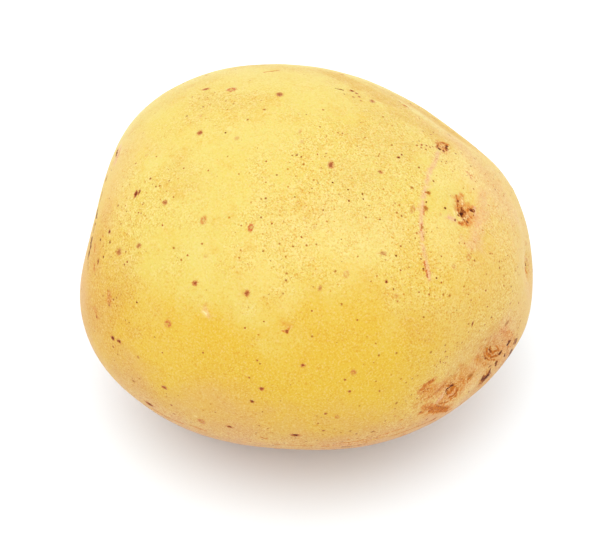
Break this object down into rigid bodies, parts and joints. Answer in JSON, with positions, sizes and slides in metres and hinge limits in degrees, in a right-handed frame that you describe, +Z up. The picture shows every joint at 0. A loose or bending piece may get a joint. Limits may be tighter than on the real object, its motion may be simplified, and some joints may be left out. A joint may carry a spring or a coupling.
{
  "type": "potato",
  "caption": "Whole unpeeled round-oval table potato with shallow eyes, a slimmer bud end and a small flat spot underneath that it lies on.",
  "frame": {"origin": "on the surface that the potato lies on, under the middle of its outline", "axes": "+X along the potato's longest direction, from the stem end to the bud end; +Z up, the shortest direction; +Y to the back"},
  "size_m": [0.084, 0.078, 0.065],
  "materials": {
    "potato_skin": "thin washed skin, golden yellow with tan russeting and small brown spots, satin"
  },
  "bodies": {
    "root": {"potato": "potato_skin"}
  },
  "joints": []
}
